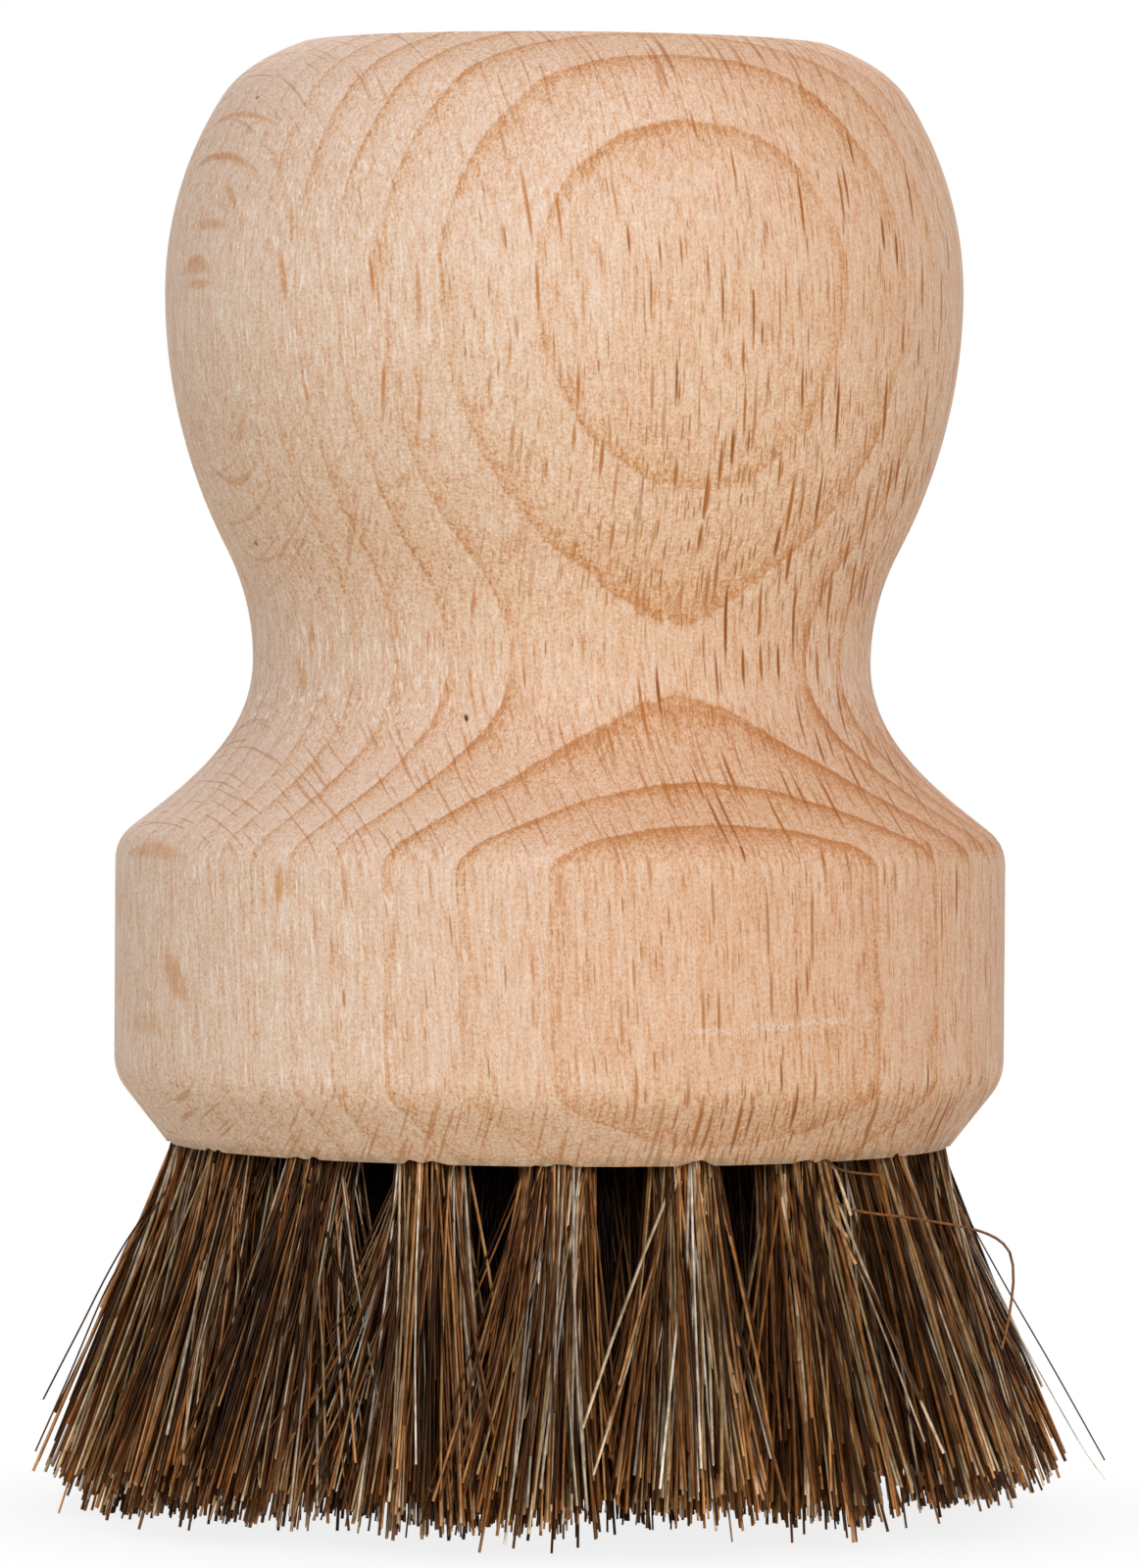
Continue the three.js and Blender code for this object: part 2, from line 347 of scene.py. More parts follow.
def rays(nodes, place, thinner, cell, half_size, scatter):
    """Spindles of ray tissue, some shorter: a soft mask and two random numbers for each spindle."""
    inverse = tuple(1 / size for size in cell)
    scaled = nodes.vector("MULTIPLY", place, inverse)
    cells = nodes.add("ShaderNodeTexVoronoi", named={
        "Vector": scaled, "Scale": 1.0, "Randomness": scatter})
    away = nodes.vector("SUBTRACT", scaled, cells.outputs["Position"])
    stretch = tuple(size / half for size, half in zip(cell, half_size))
    chance = nodes.add("ShaderNodeSeparateColor", cells.outputs["Color"])
    shorter = nodes.between(chance.outputs[2], 0.0, 1.0, 1.0, 2.5, smooth=False)
    away = nodes.vector("MULTIPLY", away, nodes.combine(1.0, thinner, shorter))
    distance = nodes.vector("LENGTH", nodes.vector("MULTIPLY", away, stretch))
    mask = nodes.between(distance, 1.0, 0.45)
    return mask, chance.outputs[0], chance.outputs[1]


# Marks that stand out: azimuth in degrees, counted as RING_AZIMUTH is, height in mm, half width in
# degrees, half height in mm, how much they lean and arch, and how strong they are.
# Flakes of ray tissue lie where the surface runs along the rays
FLAKES = {
    "crown_arch": (-64, 78.2, 14, 0.2, 0, 4, 0.85),
    "shoulder_arch": (-64.5, 75.9, 11.5, 0.26, 0, 3, 1.0),
    "shoulder_dash": (-57, 73.5, 1.4, 0.9, 1.6, 0, 0.8),
    "belly_rung_1": (-62.5, 72.1, 6.5, 0.35, 0, 0.5, 0.6),
    "belly_rung_2": (-65.5, 69.9, 5.5, 0.6, 0, 0.6, 0.85),
    "belly_rung_3": (-64, 68.8, 4.5, 0.33, 0, 0, 0.7),
    "belly_lens_1": (-42.3, 72.1, 0.5, 1.3, 1.2, 0, 0.85),
    "belly_lens_2": (-43.2, 69.2, 0.7, 1.5, 1.1, 0, 1.0),
    "neck_lens": (-56, 60.7, 1.3, 0.9, -1.2, 0, 0.65),
    "neck_cup_1": (-62, 57.9, 10, 0.25, 0, -6, 0.75),
    "neck_cup_2": (-63, 53.6, 7, 0.16, 0, -3, 0.65),
    "waist_lens_1": (-52.3, 49.2, 1.2, 1.1, -0.3, 0, 0.8),
    "waist_lens_2": (-55.3, 47.2, 1.7, 1.3, 1.1, 0, 0.8),
    "collar_band": (-65, 37.6, 9.5, 0.55, 0, 0.8, 0.7),
    "collar_lens": (-37.5, 36, 0.8, 1.3, 0, 0, 1.0),
    "collar_wedge": (-57.5, 30.7, 2.4, 1.5, 0.7, 0, 0.85),
    "collar_rung": (-66, 28, 6, 0.7, 0, 0.3, 0.45),
}
# Dark specks, and a scuff that rises along the collar
SPECKS = {
    "waist_speck": (-16.7, 45.1, 0.42, 0.24, 0.5, 0, 1.0),
    "neck_speck": (-63, 54.5, 0.6, 0.13, 0, 0, 0.8),
    "crown_speck": (-60.5, 79.1, 0.5, 0.13, 0, 0, 0.8),
}
SCUFF = {
    "collar_scuff_1": (20, 28.45, 5, 0.2, 0, 0, 0.3),
    "collar_scuff_2": (27.5, 28.62, 5, 0.24, 0, 0, 0.5),
    "collar_scuff_3": (34.5, 28.84, 5, 0.2, 0, 0, 0.45),
    "collar_scuff_4": (41, 29.04, 4.5, 0.18, 0, 0, 0.35),
}


def marks(nodes, place, table):
    """A soft mask of the marks in a table, wrapped round the handle."""
    point = nodes.add("ShaderNodeSeparateXYZ", place)
    frontward = nodes.times(point.outputs["Y"], -1.0)
    azimuth = nodes.math("ARCTAN2", point.outputs["X"], frontward)
    mask = None
    for turn, height, half_turn, half_height, lean, arch, strength in table.values():
        half_turn = math.radians(half_turn)
        aside = nodes.scaled(azimuth, 1 / half_turn, -math.radians(turn) / half_turn)
        above = nodes.scaled(point.outputs["Z"], 1 / half_height, -height / half_height)
        if lean:
            aside = nodes.scaled(above, lean, aside)
        if arch:
            above = nodes.scaled(nodes.times(aside, aside), arch, above)
        away = nodes.vector("LENGTH", nodes.combine(aside, above, 0.0))
        mark = nodes.between(away, 1.2, 0.45, 0.0, strength)
        mask = nodes.math("MAXIMUM", mask, mark) if mask else mark
    return mask


# Beech from its darkest late wood to its palest fibres
BEECH_TONES = (
    (0.0, (0.5, 0.2, 0.068)),
    (0.25, (0.635, 0.345, 0.183)),
    (0.5, (0.72, 0.475, 0.335)),
    (0.75, (0.785, 0.575, 0.44)),
    (1.0, (0.85, 0.69, 0.57)),
)
# How dark late wood is from the start of a ring to its end: a line that soon fades into pale wood
LATE_WOOD_FADE = (
    (0.0, 1.0), (0.05, 0.88), (0.12, 0.56), (0.24, 0.3), (0.45, 0.13), (0.8, 0.02), (0.97, 0.0), (1.0, 0.6))
# What share of it shows below and above two heights in mm
LATE_WOOD_SHARES = {
    "chamfer": (UNDERSIDE / MM + 3, UNDERSIDE / MM + 5, 0.6, 1.0),
    "band": (36.5, 39.5, 0.8, 1.08),
    "neck": (46, 56, 1.0, 0.65),
    "crown": (70, 77, 1.0, 1.25),
}
# Noises that draw the wood: their stretch in 1/mm across, along and up the grain, detail and roughness
RIPPLES = ((0.06, 0.55, 0.08), 3.0, 0.6)
FIBRES = ((4.6, 4.6, 0.42), 3.0, 0.6)
PORES = ((9.0, 9.0, 5.0), 2.0, 0.6)
STREAKS = ((1.5, 1.5, 0.14), 2.0)
BLUSH = ((1.9, 1.9, 0.25), 2.0)
HAIRLINES = ((0.13, 4.8, 0.3), 1.0)
TORN_FIBRES = ((5.5, 5.5, 0.75), 1.0)
# The same for what the lathe leaves, along x, y and z
LATHE_GRIT = ((3.5, 3.5, 7.5), 1.0)
LATHE_LINES = ((0.15, 0.15, 4.5), 2.0)
# Noises that are the same all ways: scale in 1/mm and detail
RING_WAVER = (0.045, 2.0)
GRAIN_WAVER = (0.1, 2.0)
LATE_WOOD_PATCHES = (0.13, 2.0)
DRIFTS = (0.06, 3.0)
RIM_TEARS = (1.4, 3.0)
# Rays: the cell that holds one and half of the largest, in mm across, along and up the grain, then scatter
BROAD_RAYS = ((10.0, 0.85, 5.6), (8.0, 0.138, 3.0), 0.85)
SLIM_RAYS = ((5.0, 0.34, 2.6), (4.0, 0.07, 1.25), 1.0)
BROAD_RAY_COLOURS = ((0.27, 0.068, 0.0), (0.42, 0.15, 0.022))
LEFT_RAY_COLOUR = (0.5, 0.18, 0.038)
SLIM_RAY_COLOURS = ((0.36, 0.13, 0.022), (0.54, 0.25, 0.08))
HAIRLINE_TINT = (0.74, 0.53, 0.34)
# Ray tissue where the surface runs along it
FLAKE_TINT = (0.83, 0.59, 0.36)
SPECK_COLOUR = (0.06, 0.035, 0.02)
SCUFF_COLOUR = (0.82, 0.70, 0.60)
TORN_FIBRE_COLOUR = (0.91, 0.8, 0.7)
TORN_RIM_COLOUR = (0.45, 0.34, 0.21)
RIM_PAINTED_SHADE_TINT = (0.72, 0.68, 0.6)
BLUSH_TINT = (1.0, 0.94, 0.91)
# The wood is warmer on one side and a little greyer on the other, where the grey is a painted sheen of
# reflected light
PALE_SHEEN_SIDE = (1.0, 1.06, 1.09)
WARM_SIDE = (0.99, 0.94, 0.855)
# Painted light by slope: the wood is tinted yellower where it faces down into shade and paler where it
# faces up to the light
PAINTED_UNDER_SHADE_TINT = (1.02, 1.03, 0.985)
PAINTED_UNDER_SHADE_WARM_TINT = (0.995, 0.985, 0.95)
PAINTED_TOP_LIGHT_TINT = (1.01, 1.04, 1.10)
# Tints of some parts: heights in mm where they come in and go out, where they come in along the rings, and
# the colour. The tint of the waist's left side is painted shade
PART_TINTS = {
    "waist_left_painted_shade": ((44, 50), (68, 60), (-5, -15), (0.95, 0.935, 0.92)),
    "neck_right": ((49, 56), (68, 63), (-4, 5), (1.02, 1.055, 1.09)),
    "band": ((25.5, 27), (38.5, 36.5), (-20, -14), (0.985, 0.962, 0.955)),
}


def cut_of_the_wood(nodes):
    """Where a point lies in the tree, in mm, and how the turned surface cuts the wood there."""
    facing = (math.sin(RING_AZIMUTH), -math.cos(RING_AZIMUTH), 0)
    sideways = (math.cos(RING_AZIMUTH), math.sin(RING_AZIMUTH), 0)
    place = nodes.scale(nodes.object_place(), 1 / MM)
    normal = nodes.add("ShaderNodeNewGeometry").outputs["Normal"]
    height = nodes.part(place, "Z")

    # Across the rings, along them, and up the grain, with a slow waver
    flat_across = nodes.vector("DOT_PRODUCT", place, facing)
    flat_along = nodes.vector("DOT_PRODUCT", place, sideways)
    level = nodes.math("SUBTRACT", height, RING_LEVEL)
    turned = nodes.scaled(flat_along, RING_TWIST, RING_LEAN)
    bowed = nodes.scaled(nodes.times(flat_along, flat_along), RING_BOW, flat_across)
    across = nodes.scaled(turned, level, bowed)
    across = nodes.swing(nodes.noise(place, *RING_WAVER), 0.3, across)
    ripple = nodes.noise(nodes.combine(flat_across, flat_along, height), *RIPPLES)
    across = nodes.swing(ripple, 0.4, across)
    along = nodes.scaled(level, GRAIN_LEAN, flat_along)
    along = nodes.swing(nodes.noise(place, *GRAIN_WAVER), 0.5, along)

    # How far the surface faces up, over the ends of the grain, and along the rings, where it shows flakes
    upward = nodes.part(normal, "Z")
    end_face = nodes.math("ABSOLUTE", upward)
    ray_face = nodes.math("ABSOLUTE", nodes.vector("DOT_PRODUCT", normal, sideways))
    flare_face = nodes.times(nodes.between(upward, 0.15, 0.45), nodes.between(height, 50, 46))
    return SimpleNamespace(
        place=place, level=level, across=across, along=along, flare_face=flare_face,
        grain=nodes.combine(across, along, height),
        by_height=partial(nodes.between, height), by_along=partial(nodes.between, along),
        by_upward=partial(nodes.between, upward), by_end_face=partial(nodes.between, end_face),
        by_ray_face=partial(nodes.between, ray_face))


def late_wood(nodes, cut):
    """How dark the late wood of the growth rings is, and how dark each whole ring is."""
    through, line, body = growth_rings(nodes, cut.across)
    late = nodes.ramp(through, [(stop, (dark, dark, dark)) for stop, dark in LATE_WOOD_FADE])
    late = nodes.times(late, line, cut.by_ray_face(0.5, 0.95, 1.0, 0.8))

    # The lines are thinner and fainter where the surface stands upright
    thin = nodes.times(late, 0.6)
    thick = nodes.times(cut.by_end_face(0.02, 0.4), nodes.math("SUBTRACT", 1.0, thin))
    late = nodes.times(late, nodes.math("ADD", thin, thick))
    late = nodes.times(late, *(cut.by_height(*share) for share in LATE_WOOD_SHARES.values()))
    under_right = nodes.times(cut.by_along(2, 9), cut.by_height(66, 60))
    patches = nodes.between(nodes.noise(cut.place, *LATE_WOOD_PATCHES), 0.32, 0.6, 0.7, 1.0)
    late = nodes.times(late, nodes.scaled(under_right, 0.3, 1.0), patches)
    return late, body


def plain_wood(nodes, cut, fibre, pore):
    """The colour of rings, fibres and pores, from a tone of 0 for the darkest wood to 1 for the palest."""
    late, body = late_wood(nodes, cut)
    tone = nodes.scaled(body, -0.12, 0.56)
    tone = nodes.swing(nodes.noise(cut.place, *DRIFTS), 0.15, tone)
    tone = nodes.swing(nodes.noise(cut.grain, *STREAKS), 0.18, tone)
    tone = nodes.swing(fibre, cut.by_end_face(0.2, 0.7, 1.05, 0.85), tone)
    tone = nodes.swing(pore, cut.by_end_face(0.1, 0.6, 1.1, 1.2), tone)
    grit = nodes.noise(cut.place, *LATHE_GRIT)
    tone = nodes.swing(grit, cut.by_upward(0.3, -0.5, 0.22, 0.85), tone)
    tone = nodes.scaled(late, -0.5, tone)
    # Painted light and shade on faces that look up: a little lighter on the left, darker on the right, and
    # darker again on the right of the flare
    top_painted_light = cut.by_along(-20, -6, 0.03, -0.11)
    tone = nodes.scaled(cut.by_upward(0.2, 0.9), top_painted_light, tone)
    flare_painted_shade = cut.by_along(9, 20, 0.0, -0.16)
    tone = nodes.scaled(cut.flare_face, flare_painted_shade, tone)
    wood = nodes.ramp(tone, BEECH_TONES)
    blush = nodes.noise(cut.grain, *BLUSH)
    return nodes.mix(nodes.between(blush, 0.45, 0.7, 0.0, 0.6), wood, BLUSH_TINT, "MULTIPLY")


def tinted(nodes, cut, wood):
    """The wood with the slow changes of colour over the handle."""
    # Painted sheen: the greyer side, with less of it where the surface faces down
    warmth = nodes.between(nodes.scaled(cut.level, -0.25, cut.along), -22, 4)
    under_left = nodes.times(cut.by_upward(-0.1, -0.6), cut.by_along(-8, -18))
    warmth = nodes.scaled(under_left, 0.25, warmth)
    wood = nodes.mix(1.0, wood, nodes.mix(warmth, PALE_SHEEN_SIDE, WARM_SIDE), "MULTIPLY")
    # Painted light: a tint by how far the surface faces up or down
    under = nodes.mix(cut.by_along(2, 16), PAINTED_UNDER_SHADE_TINT, PAINTED_UNDER_SHADE_WARM_TINT)
    painted_light_by_slope = nodes.mix(cut.by_upward(-0.6, 0.7), under, PAINTED_TOP_LIGHT_TINT)
    wood = nodes.mix(1.0, wood, painted_light_by_slope, "MULTIPLY")
    # One of these tints is painted shade on the left of the waist
    for comes_in, goes_out, side, tint in PART_TINTS.values():
        part = nodes.times(cut.by_height(*comes_in), cut.by_height(*goes_out), cut.by_along(*side))
        wood = nodes.mix(part, wood, tint, "MULTIPLY")
    return wood


def with_rays(nodes, cut, wood, flake):
    """The wood with rays: dark slits where the rings face out, flakes where the surface runs along them."""
    thinner = nodes.times(cut.by_ray_face(0.8, 0.97, 1.0, 0.85), cut.by_upward(-0.1, -0.5, 1.0, 0.75))
    broad, broad_chance, broad_hue = rays(nodes, cut.grain, thinner, *BROAD_RAYS)
    slim, slim_chance, slim_hue = rays(nodes, cut.grain, thinner, *SLIM_RAYS)

    # They crowd on the right, most of all under the belly and on the flare
    right_side = cut.by_along(-11, 2)
    crowd = nodes.scaled(right_side, cut.by_height(36, 41, 0.13, 0.3), -0.42)
    crowd = nodes.scaled(cut.by_upward(0.0, -0.4, 0.0, 0.54), right_side, crowd)
    crowd = nodes.scaled(nodes.times(cut.flare_face, 0.32), right_side, crowd)

    # They are fainter on flakes, on the ends of the grain at the left, on the crown and on the band
    left_end = nodes.times(cut.by_end_face(0.15, 0.5), cut.by_along(0, -11))
    off_band = nodes.math("MAXIMUM", cut.by_height(36, 39, 0.88, 1.0), cut.by_height(25.5, 24))
    broad = nodes.times(
        broad,
        nodes.between(nodes.math("ADD", broad_chance, crowd), 0.0, 0.68),
        cut.by_ray_face(0.75, 0.95, 1.0, 0.5),
        nodes.scaled(left_end, -0.85, 1.0),
        cut.by_height(75.5, 79, 1.0, 0.55),
        off_band)
    slim = nodes.times(
        slim,
        nodes.between(nodes.math("ADD", slim_chance, crowd), 0.0, 0.7, 0.0, 0.9),
        cut.by_ray_face(0.7, 0.92, 1.0, 0.1),
        cut.by_upward(0.15, 0.45, 1.0, 0.6),
        nodes.scaled(left_end, -0.7, 1.0))
    dark_ray = nodes.mix(right_side, LEFT_RAY_COLOUR, nodes.mix(broad_hue, *BROAD_RAY_COLOURS))
    broad_colour = nodes.mix(cut.by_ray_face(0.7, 0.95), dark_ray, flake)

    # The finest rays are hairlines over the ends of the grain
    fine = nodes.noise(cut.grain, *HAIRLINES)
    fine = nodes.times(nodes.between(fine, 0.4, 0.33), cut.by_end_face(0.2, 0.6, 0.1, 0.72))
    wood = nodes.mix(fine, wood, HAIRLINE_TINT, "MULTIPLY")
    wood = nodes.mix(slim, wood, nodes.mix(slim_hue, *SLIM_RAY_COLOURS))
    return nodes.mix(broad, wood, broad_colour), broad


def with_torn_fibres(nodes, cut, wood):
    """The wood with fibres torn up pale by the lathe, most where it runs along the rays, a torn rim and
    painted shade along it.
    """
    fuzz = nodes.noise(cut.grain, *TORN_FIBRES)
    rough_waist = nodes.times(cut.by_height(42, 45), cut.by_height(54, 49))
    fuzz = nodes.scaled(rough_waist, 0.04, fuzz)
    fuzz = nodes.times(
        nodes.between(fuzz, 0.62, 0.72),
        cut.by_ray_face(0.45, 0.9, 0.15, 0.7),
        cut.by_upward(-0.1, -0.35, 1.0, 0.1),
        cut.by_upward(0.35, 0.65, 1.0, 0.1))
    wood = nodes.mix(fuzz, wood, TORN_FIBRE_COLOUR)

    # The rim of the underside is torn where the drilled holes break out, and darkened towards its edge as
    # painted shade
    rim = cut.by_height(UNDERSIDE / MM + 0.75, UNDERSIDE / MM + 0.1)
    torn = nodes.between(nodes.noise(cut.place, *RIM_TEARS), 0.42, 0.62)
    wood = nodes.mix(nodes.times(rim, torn, 0.65), wood, TORN_RIM_COLOUR)
    return nodes.mix(nodes.times(rim, 0.5), wood, RIM_PAINTED_SHADE_TINT, "MULTIPLY")


def beech():
    material, nodes, surface = shader("untreated_beech")
    cut = cut_of_the_wood(nodes)
    fibre = nodes.noise(cut.grain, *FIBRES)
    pore = nodes.noise(cut.grain, *PORES)
    wood = tinted(nodes, cut, plain_wood(nodes, cut, fibre, pore))
    flake = nodes.mix(1.0, wood, FLAKE_TINT, "MULTIPLY")
    wood, broad = with_rays(nodes, cut, wood, flake)
    flakes = nodes.times(marks(nodes, cut.place, FLAKES), nodes.between(fibre, 0.3, 0.6, 0.6, 1.0))
    wood = nodes.mix(flakes, wood, flake)
    wood = nodes.mix(marks(nodes, cut.place, SPECKS), wood, SPECK_COLOUR)
    scuff = nodes.times(marks(nodes, cut.place, SCUFF), nodes.between(pore, 0.42, 0.56, 0.1, 1.0))
    wood = nodes.mix(scuff, wood, SCUFF_COLOUR)
    wood = with_torn_fibres(nodes, cut, wood)

    # Faint turning marks and raised grain
    relief = nodes.scaled(nodes.noise(cut.place, *LATHE_LINES), 0.35, fibre)
    relief = nodes.scaled(pore, 0.5, relief)
    relief = nodes.scaled(broad, -0.06, relief)
    bump = nodes.add("ShaderNodeBump", named={"Strength": 0.32, "Distance": 0.05 * MM, "Height": relief})
    roughness = nodes.between(fibre, 0.3, 0.7, 0.66, 0.54)
    nodes.fill(surface, {
        "Base Color": wood, "Roughness": roughness, "Normal": bump, "Specular IOR Level": 0.25})
    return material


# Mixed horsehair: most hairs black to dark brown, then chestnut, ginger, beige, grey and a few white
HAIR_COLOURS = (
    (0.0, (0.028, 0.01, 0.002)),
    (0.2, (0.075, 0.028, 0.007)),
    (0.4, (0.15, 0.06, 0.018)),
    (0.55, (0.25, 0.1, 0.028)),
    (0.66, (0.43, 0.21, 0.08)),
    (0.75, (0.31, 0.2, 0.1)),
    (0.85, (0.56, 0.43, 0.285)),
    (0.92, (0.42, 0.35, 0.275)),
    (1.0, (0.73, 0.65, 0.55)),
)
# Painted light on the hair, near its root and most of all towards its tip
PAINTED_LIGHT_HAIR_TINT = (1.75, 1.7, 1.6)
# Painted shade for the hair roots behind the outer ring's tufts
ROOT_PAINTED_SHADE_TINT = (0.2, 0.18, 0.16)
HAIR_STREAK_TINT = (0.42, 0.36, 0.30)
# How streaks of the hair and of the drawn wire are stretched, in 1/m, with their detail and roughness
HAIR_STREAKS = ((2200, 2200, 900), 3.0, 0.6)
WIRE_STREAKS = ((900, 900, 9000), 3.0)
WIRE_MOTTLE = (700.0, 3.0)
WIRE_COLOURS = ((0.50, 0.49, 0.46), (0.33, 0.32, 0.30))


def horsehair():
    material, nodes, surface = shader("mixed_horsehair")
    tone = nodes.add("ShaderNodeAttribute", attribute_name="tone").outputs["Fac"]
    along = nodes.add("ShaderNodeAttribute", attribute_name="along").outputs["Fac"]
    place = nodes.object_place()
    hair = nodes.ramp(tone, HAIR_COLOURS, "CONSTANT")

    # Painted light: paler at the mouth of the hole and most of all towards the tip
    painted_lift = nodes.math("MAXIMUM", nodes.between(along, 0.0, 0.4, 0.5, 0.12),
                      nodes.between(along, 0.65, 1.0, 0.12, 1.0))
    hair = nodes.mix(painted_lift, hair, PAINTED_LIGHT_HAIR_TINT, "MULTIPLY")

    # Painted shade: darker under the wood, behind the outer ring's tufts
    off_axis = nodes.vector("LENGTH", nodes.vector("MULTIPLY", place, (1, 1, 0)))
    behind = nodes.between(off_axis, OUTER_RING - PACKED_RADIUS, OUTER_RING - PACKED_RADIUS - 1.5 * MM)
    near_wood = nodes.between(nodes.part(place, "Z"), UNDERSIDE - 11 * MM, UNDERSIDE - 4 * MM)
    hair = nodes.mix(nodes.times(behind, near_wood), hair, ROOT_PAINTED_SHADE_TINT, "MULTIPLY")

    streak = nodes.noise(place, *HAIR_STREAKS)
    hair = nodes.mix(nodes.between(streak, 0.35, 0.62, 0.75, 0.0), hair, HAIR_STREAK_TINT, "MULTIPLY")
    roughness = nodes.between(streak, 0.3, 0.7, 0.5, 0.34)
    nodes.fill(surface, {"Base Color": hair, "Roughness": roughness, "Specular IOR Level": 0.1})
    return material


def anchor_wire():
    material, nodes, surface = shader("drawn_flat_wire")
    place = nodes.object_place()
    drawn = nodes.noise(place, *WIRE_STREAKS)
    dull = nodes.between(nodes.noise(place, *WIRE_MOTTLE), 0.35, 0.7)
    bump = nodes.add("ShaderNodeBump", named={"Strength": 0.2, "Distance": 0.02 * MM, "Height": drawn})
    nodes.fill(surface, {
        "Base Color": nodes.mix(dull, *WIRE_COLOURS), "Metallic": 1.0, "Normal": bump,
        "Roughness": nodes.between(drawn, 0.3, 0.7, 0.28, 0.46)})
    return material


# Geometry trees

def tree_with_inputs(name, sockets):
    """A geometry tree with named inputs of each kind: the tree, its nodes and what the inputs give."""
    tree = bpy.data.node_groups.new(name, "GeometryNodeTree")
    tree.interface.new_socket("Geometry", in_out="OUTPUT", socket_type="NodeSocketGeometry")
    tree.interface.new_socket("Geometry", in_out="INPUT", socket_type="NodeSocketGeometry")
    for kind, labels in sockets.items():
        for label in labels:
            tree.interface.new_socket(label, in_out="INPUT", socket_type=f"NodeSocket{kind}")
    nodes = Nodes(tree)
    given = nodes.add("NodeGroupInput")
    return tree, nodes, given.outputs


def end_tree(nodes, geometry, material):
    geometry = nodes.add("GeometryNodeRealizeInstances", geometry)
    geometry = nodes.add("GeometryNodeSetMaterial", geometry, named={"Material": material})
    nodes.add("NodeGroupOutput", geometry)


def make_piece(name, start, tree, values):
    """Runs a tree on a starting mesh and keeps the result as a plain mesh piece."""
    piece = placed(name, start)
    modifier = piece.modifiers.new(tree.name, "NODES")
    modifier.node_group = tree
    for item in tree.interface.items_tree:
        if item.in_out == "INPUT" and item.name in values:
            modifier[item.identifier] = values[item.name]
    evaluated = piece.evaluated_get(bpy.context.evaluated_depsgraph_get())
    mesh = bpy.data.meshes.new_from_object(evaluated)
    mesh.name = name
    piece.modifiers.remove(modifier)
    piece.data = mesh
    bpy.data.meshes.remove(start)
    return piece


# The handle

def arc(centre_r, centre_z, radius, start, end):
    for step in range(CURVE_STEPS + 1):
        angle = start + (end - start) * step / CURVE_STEPS
        yield Vector((centre_r + radius * math.cos(angle), 0, centre_z + radius * math.sin(angle)))


def bezier(*handles, steps=CURVE_STEPS):
    """Points on a curve of any degree, between its first and last handle."""
    for step in range(steps + 1):
        row = list(handles)
        while len(row) > 1:
            row = [a.lerp(b, step / steps) for a, b in zip(row, row[1:])]
        yield row[0]


def rounded(before, corner, after, rounding):
    start = corner + (before - corner).normalized() * rounding
    end = corner + (after - corner).normalized() * rounding
    return bezier(start, corner, end, steps=ROUNDING_STEPS)


def handle_profile():
    """The turned outline, from the middle of the underside to the middle of the top."""
    underside = Vector((COLLAR_RADIUS - CHAMFER_WIDTH, 0, UNDERSIDE))
    chamfer_top = Vector((COLLAR_RADIUS, 0, UNDERSIDE + CHAMFER_HEIGHT))
    band_top = chamfer_top + Vector((0, 0, BAND_HEIGHT))
    flare = band_top + Vector((-math.cos(FLARE_SLOPE), 0, math.sin(FLARE_SLOPE))) * FLARE_STRAIGHT
    waist = Vector((WAIST_RADIUS, 0, band_top.z + FLARE_HEIGHT))
    belly_level = waist.z + NECK_HEIGHT
    turn = 2 * math.atan((BELLY_RADIUS - WAIST_RADIUS) / NECK_HEIGHT)
    belly_arc = NECK_HEIGHT / math.sin(turn) - NECK_WAIST_ARC
    crown_turn = math.asin((TOP - SHOULDER_HEIGHT - belly_level) / CROWN_ARC)
    crown = list(arc(BELLY_RADIUS - CROWN_ARC, belly_level, CROWN_ARC, 0, crown_turn))
    top_edge = Vector((crown[-1].x - SHOULDER_RUN, 0, TOP))
    climb = math.pi / 2 - crown_turn
    run = (SHOULDER_RUN * math.tan(climb) - SHOULDER_HEIGHT) / (math.tan(climb) - math.tan(RIM_SLOPE))
    shoulder = top_edge + Vector((run, 0, -run * math.tan(RIM_SLOPE)))
    flared = list(bezier(band_top, flare, waist - Vector((0, 0, WAIST_STRAIGHT)), waist))
    return [
        Vector((0, 0, UNDERSIDE)),
        underside,
        *rounded(underside, chamfer_top, band_top, CHAMFER_ROUNDING),
        *rounded(chamfer_top, band_top, flare, BAND_ROUNDING),
        *flared[FLARE_SKIPPED:],
        *arc(WAIST_RADIUS + NECK_WAIST_ARC, waist.z, NECK_WAIST_ARC, math.pi, math.pi - turn),
        *arc(BELLY_RADIUS - belly_arc, belly_level, belly_arc, -turn, 0),
        *crown,
        *bezier(crown[-1], shoulder, top_edge, steps=SHOULDER_STEPS),
        top_edge - Vector((RIM_WIDTH, 0, 0)),
        Vector((0, 0, TOP)),
    ]


def hole_seats(step):
    """The middle of each hole's mouth in one ring, with the hole's own directions."""
    count = max(1, step * HOLES_PER_STEP)
    steps = len(RING_NODES) - 1
    phase = FRONT + (0 if step == steps else math.pi / count)
    splay = OUTER_SPLAY * step / steps
    for index in range(count):
        azimuth = phase + math.tau * index / count
        outward = Vector((math.cos(azimuth), math.sin(azimuth), 0))
        mouth = outward * (OUTER_RING * step / steps) + Vector((0, 0, UNDERSIDE))
        up = Vector((0, 0, math.cos(splay))) - outward * math.sin(splay)
        yield mouth, outward, up


def seats_mesh(name, seats):
    """One point for each hole, with its directions as attributes."""
    seats = list(seats)
    mesh = bpy.data.meshes.new(name)
    mesh.from_pydata([mouth for mouth, _, _ in seats], [], [])
    for label, column in (("outward", 1), ("up", 2)):
        attribute = mesh.attributes.new(label, "FLOAT_VECTOR", "POINT")
        for item, seat in zip(attribute.data, seats):
            item.vector = seat[column]
    return mesh


